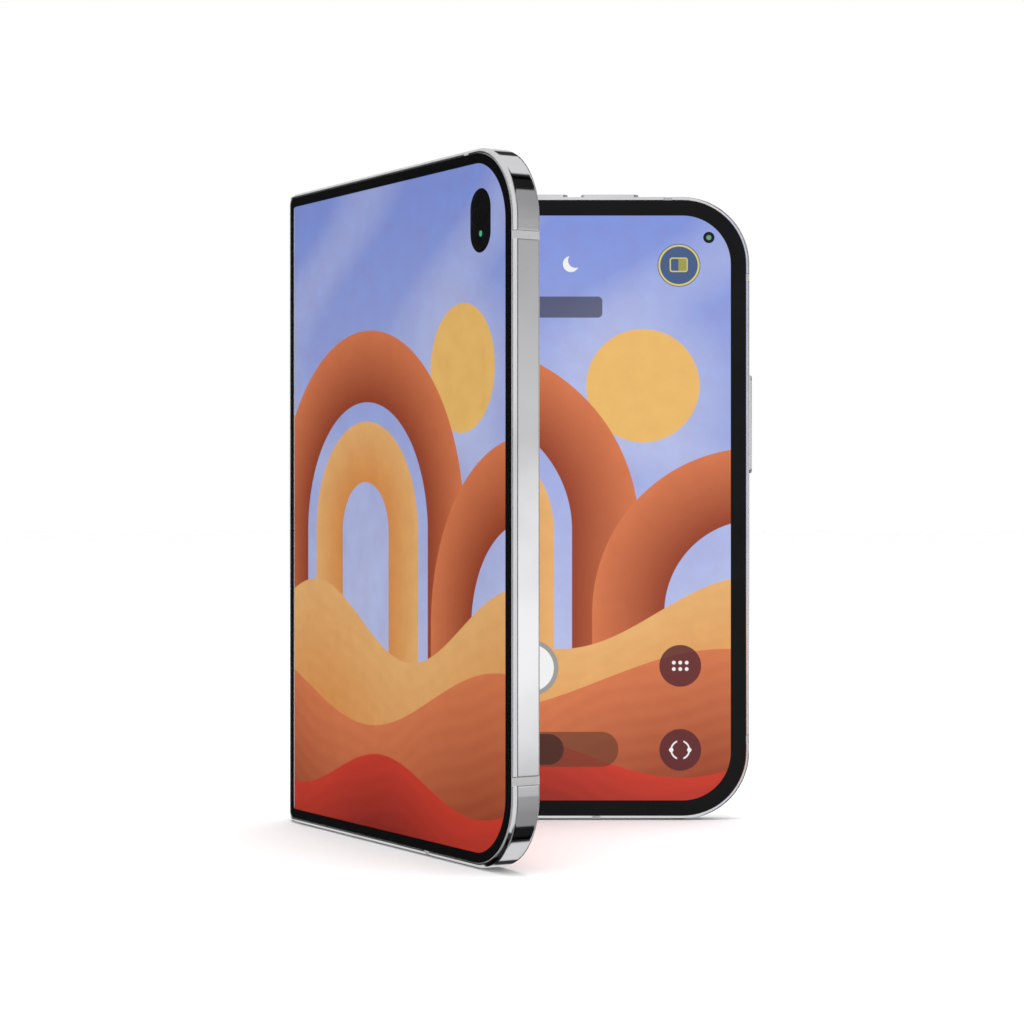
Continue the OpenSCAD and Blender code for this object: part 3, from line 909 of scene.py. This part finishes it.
# the metal mirrors a dark room with pale standing panels and a pale ceiling; headings and widths
# are in degrees, and any other pair is where a fade starts and ends, in x, y or z of a direction
studio = {
    "floorColour": (0.9, 0.9, 0.9, 1),
    "floorSize": 6.0,
    "floorGap": 0.0002,         # below the lowest edge
    "wash": 1.17,               # what matt surfaces receive from all round
    "dark": 0.035,
    "panels": (                 # heading of the middle, half the width, brightness
        (-104, 36, 0.84),
        (108, 22, 0.72),
        (187, 21, 0.5),
        (29, 19, 0.55),
    ),
    "panelEdge": 1.5,
    "panelTop": (0.67, 0.7),
    "panelLoss": 0.96,          # the share of a panel that is gone above its top
    "ceiling": 0.8,
    "ceilingFrom": (0.66, 0.71),
    "beamRight": (0.25, 0.35),  # the ceiling is dark to the right of this,
    "beamFar": (0.13, 0.18),    # but not further back than this
    "underFrom": (-0.2, -0.3),  # under the object it is dark too,
    "underRight": (0.1, 0.2),   # but not to the right of this
    "sideHeading": -24,         # a panel that changes with its height
    "sideWidth": 26,
    "sideLevels": (             # share of the height from straight down to straight up, brightness
        (0.0, 0.3), (0.27, 0.31), (0.43, 0.42), (0.442, 0.54), (0.446, 0.77), (0.45, 0.94),
        (0.459, 1.1), (0.471, 1.13), (0.484, 1.09), (0.508, 0.9), (0.517, 0.72), (0.529, 0.64),
        (0.545, 0.53), (0.558, 0.45), (0.7, 0.37), (1.0, 0.34),
    ),
}

softbox = {
    "place": (0.1, -0.1, 1.1),  # in metres
    "aim": (0, 0, 0.05),
    "size": 0.8,
    "power": 6,
}


def makeFloor():
    mesh = bpy.data.meshes.new("studioFloor")
    bm = bmesh.new()
    bmesh.ops.create_grid(bm, x_segments=1, y_segments=1, size=studio["floorSize"])
    bm.to_mesh(mesh)
    bm.free()
    floor = bpy.data.objects.new("studio_floor", mesh)
    bpy.context.scene.collection.objects.link(floor)
    floor.location.z = -studio["floorGap"]
    paint = Paint("floorPaper")
    floor.data.materials.append(paint.finish({
        "Base Color": studio["floorColour"],
        "Specular IOR Level": 0.0,
        "Roughness": 0.8 + paint.noise(3, 2) * 0.1,
    }))
    floor.visible_glossy = False
    floor.visible_transmission = False


def makeLight():
    # a soft light from above that the metal doesn't mirror
    data = bpy.data.lights.new("topSoftbox", "AREA")
    data.size = softbox["size"]
    data.energy = softbox["power"]
    lamp = bpy.data.objects.new("topSoftbox", data)
    lamp.location = softbox["place"]
    aim = Vector(softbox["aim"]) - Vector(softbox["place"])
    lamp.rotation_euler = aim.to_track_quat("-Z", "Y").to_euler()
    lamp.visible_glossy = False
    bpy.context.scene.collection.objects.link(lamp)


def makeWorld():
    # white behind the object, an even wash on matt surfaces, and a room for the metal to mirror
    paint = Paint("studioWorld", world=True)
    way = paint.place("Generated")
    levelled = paint.vectorMath("NORMALIZE", paint.vectorMath("MULTIPLY", way, (1, 1, 0)))
    rise = paint.dot(way, (0, 0, 1))
    steep = abs(rise)
    right = paint.dot(way, (1, 0, 0))
    far = paint.dot(way, (0, 1, 0))

    def fade(value, ends, most=1):
        # from 0 at the first end to the most at the second
        made = paint.node("MapRange", {"interpolation_type": "SMOOTHSTEP"}, {
            "Value": value,
            "From Min": ends[0],
            "From Max": ends[1],
            "To Max": most,
        })
        return Signal(paint, made.outputs[0])

    def heading(middle, half):
        # 1 within a range of headings, 0 outside
        edge = studio["panelEdge"]
        towards = (math.cos(math.radians(middle)), math.sin(math.radians(middle)), 0)
        ends = (math.cos(math.radians(half + edge)), math.cos(math.radians(half - edge)))
        return fade(paint.dot(levelled, towards), ends)

    def glow(strength):
        inputs = {"Color": (1, 1, 1, 1), "Strength": strength}
        return paint.node("Background", None, inputs).outputs[0]

    panels = studio["dark"]
    for middle, half, level in studio["panels"]:
        panels = panels + heading(middle, half) * level
    levels = paint.node("ValToRGB", {"stops": studio["sideLevels"]}, {0: rise * 0.5 + 0.5})
    side = heading(studio["sideHeading"], studio["sideWidth"])
    panels = panels + side * Signal(paint, levels.outputs[0])
    panels = panels - panels * fade(steep, studio["panelTop"], studio["panelLoss"])

    beam = fade(right, studio["beamRight"]) * (1 - fade(far, studio["beamFar"]))
    ceiling = fade(steep, studio["ceilingFrom"], studio["ceiling"]) * (1 - beam)
    # under the object only the right half is pale
    unlit = fade(rise, studio["underFrom"]) * (1 - fade(right, studio["underRight"]))
    ceiling = ceiling * (1 - unlit)

    rays = paint.node("LightPath")
    mirrored = glow(panels + ceiling)
    matt = paint.mixShader(rays.outputs["Is Diffuse Ray"], mirrored, glow(studio["wash"]))
    seen = paint.mixShader(rays.outputs["Is Camera Ray"], matt, glow(1))
    bpy.context.scene.world = paint.close(seen)


cameraFit = {
    "away": 476.3,          # from the plane of the inner display, in millimetres
    "across": 38.78,        # from the hinge axis
    "up": 60.3,
    "focal": 2458,          # in pixels of the photograph, as is the drop
    "drop": -3.5,
    "photoWidth": 1024,
    "sensor": 36,
}


def makeCamera():
    data = bpy.data.cameras.new("photoCamera")
    data.lens = cameraFit["focal"] / cameraFit["photoWidth"] * cameraFit["sensor"]
    data.sensor_width = cameraFit["sensor"]
    data.shift_y = cameraFit["drop"] / cameraFit["photoWidth"]
    data.clip_start = 0.01
    camera = bpy.data.objects.new("photo_camera", data)
    offset = Vector((cameraFit["across"], -cameraFit["away"], cameraFit["up"])) * mm
    camera.location = axisPoint + offset
    camera.rotation_euler = (math.pi / 2, 0, 0)
    bpy.context.scene.collection.objects.link(camera)
    bpy.context.scene.camera = camera


makeFloor()
makeWorld()
makeLight()
makeCamera()
bpy.context.scene.view_settings.view_transform = "Standard"
print("studio ready")
